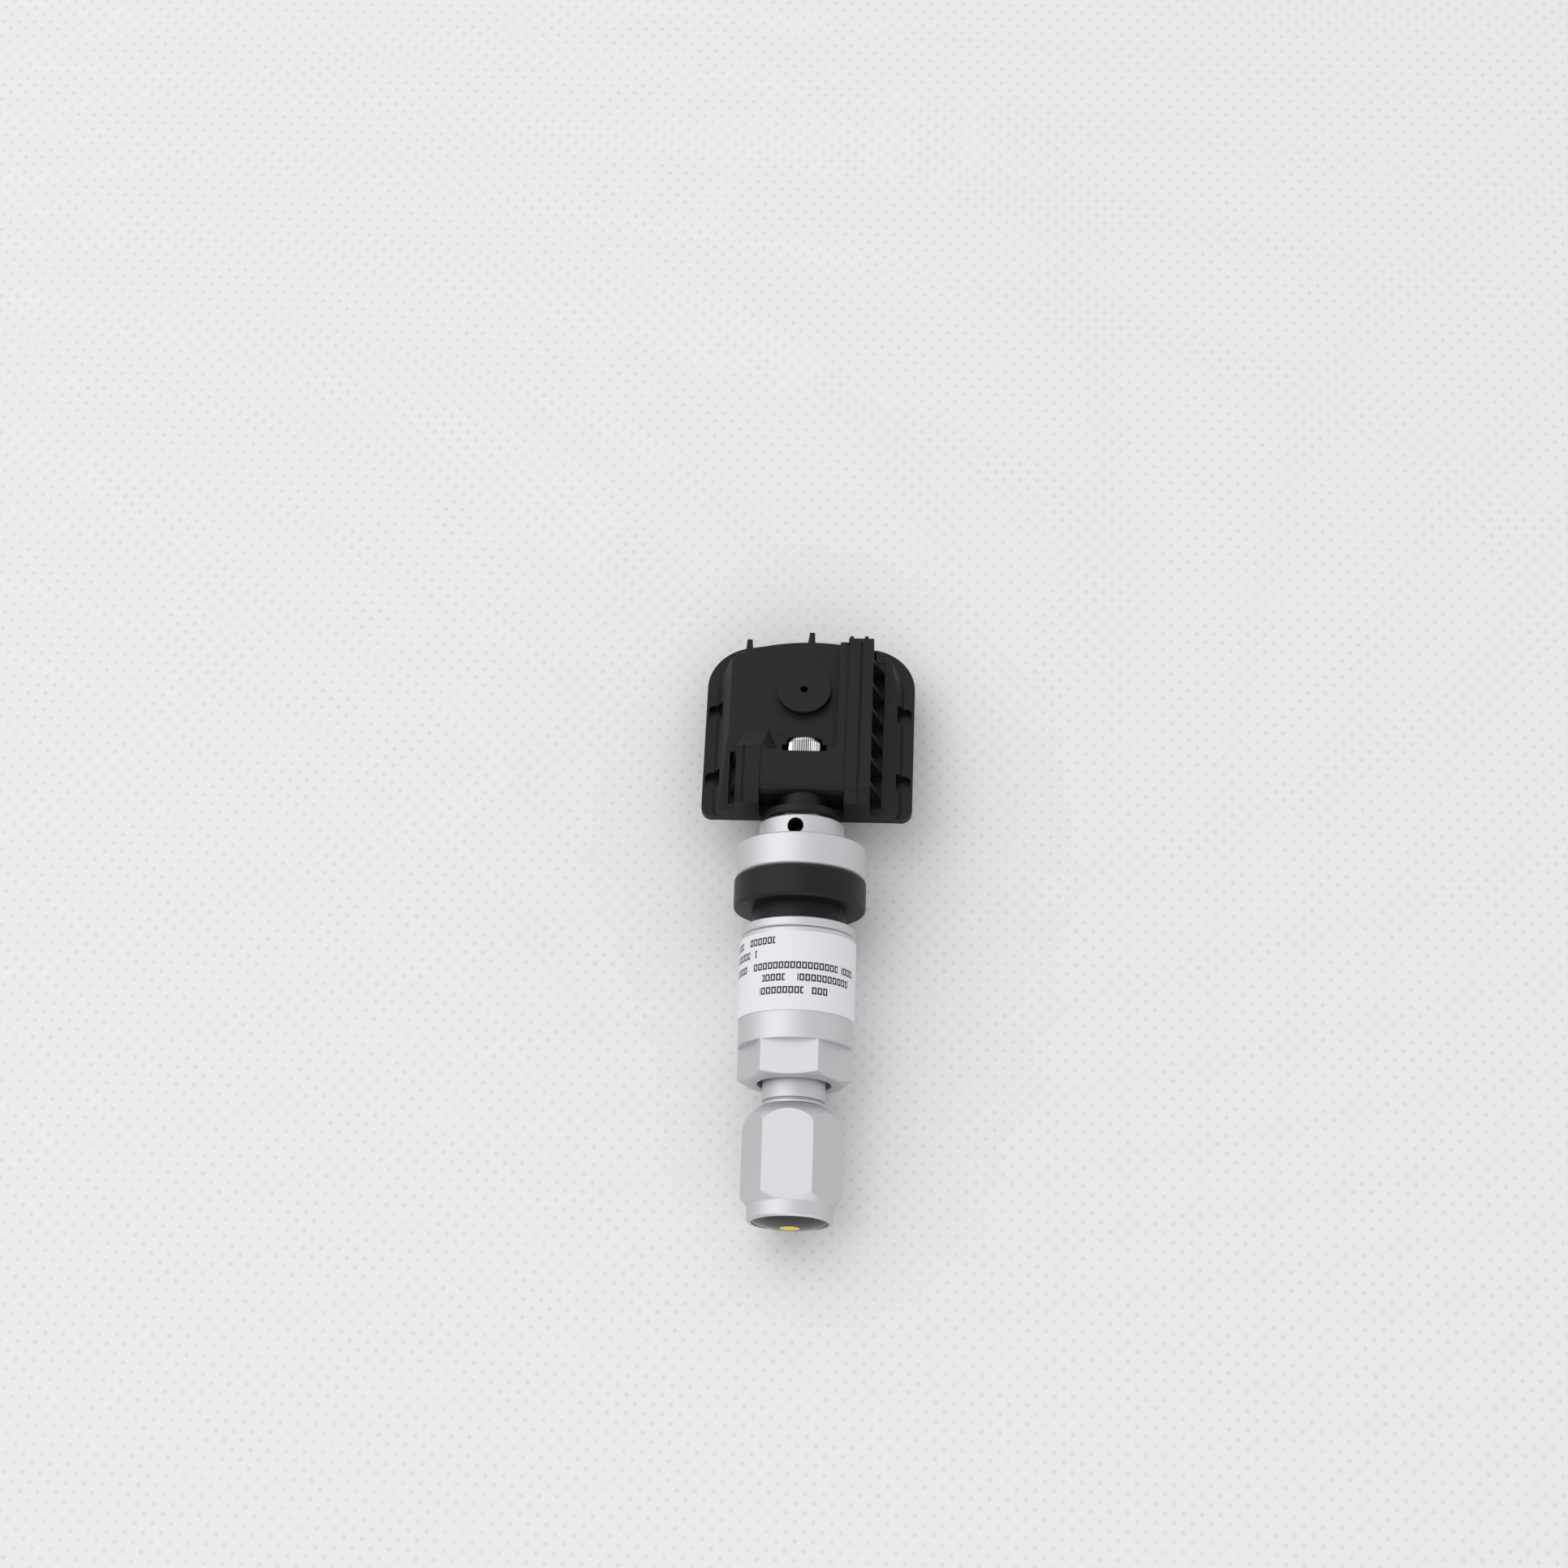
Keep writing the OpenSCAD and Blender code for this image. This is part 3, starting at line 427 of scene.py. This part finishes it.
# The label is a white film wrapped round the nut's sleeve. It carries rows of small
# plain boxes, each row with its place, start, end and own spacing.
film_white, film_ink = (0.74, 0.745, 0.76), (0.015, 0.015, 0.018)
white_film = Finish("white_film", film_white, 0.45, specular=0.3)
label_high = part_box("label")[1]
film_x, film_y, film_z = white_film.places()
round_nut = white_film.maths("ARCTAN2", film_x, film_z) * (label_high.x * 1000)
down_film = label_high.y * 1000 - film_y
box_rows = [
    (1.2, -12.2, -2.8, 3.1),
    (2.8, -12.2, -5.6, 7.7),
    (4.6, -11.6, 9.2, 1.9),
    (6.2, -4.6, 9.6, 5.3),
    (7.9, -4.9, 4.5, 9.1),
]
row_height, boxes_per_mm, box_share = 0.95, 1.3, 0.84
ink = 0.0
for row, start, end, seed in box_rows:
    in_row = abs(down_film - row) < row_height / 2
    between = (round_nut > start) * (round_nut < end)
    across_cell = white_film.maths("FRACT", round_nut * boxes_per_mm + seed)
    uprights = abs(across_cell - box_share / 2) > 0.16
    bars = abs(down_film - row) > row_height * 0.29
    boxes = white_film.maths("MAXIMUM", uprights, bars) * (across_cell < box_share)
    long_wave = white_film.maths("SINE", round_nut * 0.61 + seed)
    groups = white_film.maths("SINE", round_nut * 1.37 + seed) + long_wave > -1.3
    ink = in_row * between * boxes * groups + ink
white_film.set("Base Color", white_film.mix(ink, film_white, film_ink))
white_film.bump(white_film.noise(0.5, 2), 0.006, 0.3)
paint(frame["nodes"]["label"], white_film)

# The valve core screws into the tip of the stem: a brass barrel and pin, a white
# sealing cone, a red rubber cup and a steel spring that holds the cup shut.
turned_brass = Finish("turned_brass", (0.74, 0.53, 0.22), 0.28, 1.0)
turned_brass.set("Roughness", 0.18 + turned_brass.noise(0.3, 2, (1, 5, 1)) * 0.22)
paint(frame["nodes"]["core_barrel"], turned_brass)
paint(frame["nodes"]["core_pin"], turned_brass)
seal_plastic = Finish("seal_plastic", (0.80, 0.80, 0.78), 0.4)
seal_plastic.bump(seal_plastic.noise(0.3, 2), 0.01, 0.3)
paint(frame["nodes"]["core_seal"], seal_plastic)
paint(frame["nodes"]["core_cup"], soft_silicone)
spring_near, spring_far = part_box("core_spring")
wire_radius = 0.0002
spring_turns = 6
spring_radius = spring_far.x - wire_radius
spring_rise = (spring_far.y - spring_near.y - 2 * wire_radius) / spring_turns
bpy.ops.object.select_all(action="DESELECT")
bpy.ops.mesh.primitive_circle_add(
    vertices=10, radius=wire_radius, location=(spring_radius, spring_near.y + wire_radius, 0)
)
coil = bpy.context.object
coil.name = "core_spring_coil"
bpy.ops.object.transform_apply(location=True, rotation=True, scale=True)
winding = coil.modifiers.new("winding", "SCREW")
winding.axis = "Y"
winding.screw_offset = spring_rise
winding.iterations = spring_turns
winding.steps = winding.render_steps = 24
bpy.ops.object.modifier_apply(modifier=winding.name)
bpy.ops.object.mode_set(mode="EDIT")
bpy.ops.mesh.select_all(action="SELECT")
bpy.ops.mesh.remove_doubles(threshold=0.000001)
bpy.ops.mesh.fill_holes(sides=0)
bpy.ops.mesh.select_all(action="SELECT")
bpy.ops.mesh.normals_make_consistent(inside=False)
bpy.ops.object.mode_set(mode="OBJECT")
bpy.ops.object.shade_smooth_by_angle(angle=math.radians(40))
paint(coil, plated_steel)
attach(coil, "sensor")
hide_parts("core_spring")
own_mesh(coil)

# The cap is a hexagonal aluminium turning in the same satin, with a domed resin badge
# set in its end. The badge carries one plain dot in its middle.
soften("valve_cap", "cap_turned", "cap", 0.16, satin_metal)
badge_resin = Finish("badge_resin", (0.012, 0.012, 0.013), 0.15, specular=0.16)
badge_x, badge_y, badge_z = badge_resin.places()
from_middle = badge_resin.maths("SQRT", badge_x * badge_x + badge_z * badge_z)
badge_black, badge_yellow = (0.008, 0.008, 0.009), (0.80, 0.56, 0.01)
dot_radius = 1.3
badge_resin.set("Base Color", badge_resin.mix(from_middle < dot_radius, badge_black, badge_yellow))
badge_resin.set("Roughness", 0.1 + badge_resin.noise(1.5, 2) * 0.05)
paint(frame["nodes"]["cap_badge"], badge_resin)

dressed_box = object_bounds()
boxes = {"cad": [list(corner) for corner in cad_box], "dressed": [list(corner) for corner in dressed_box]}
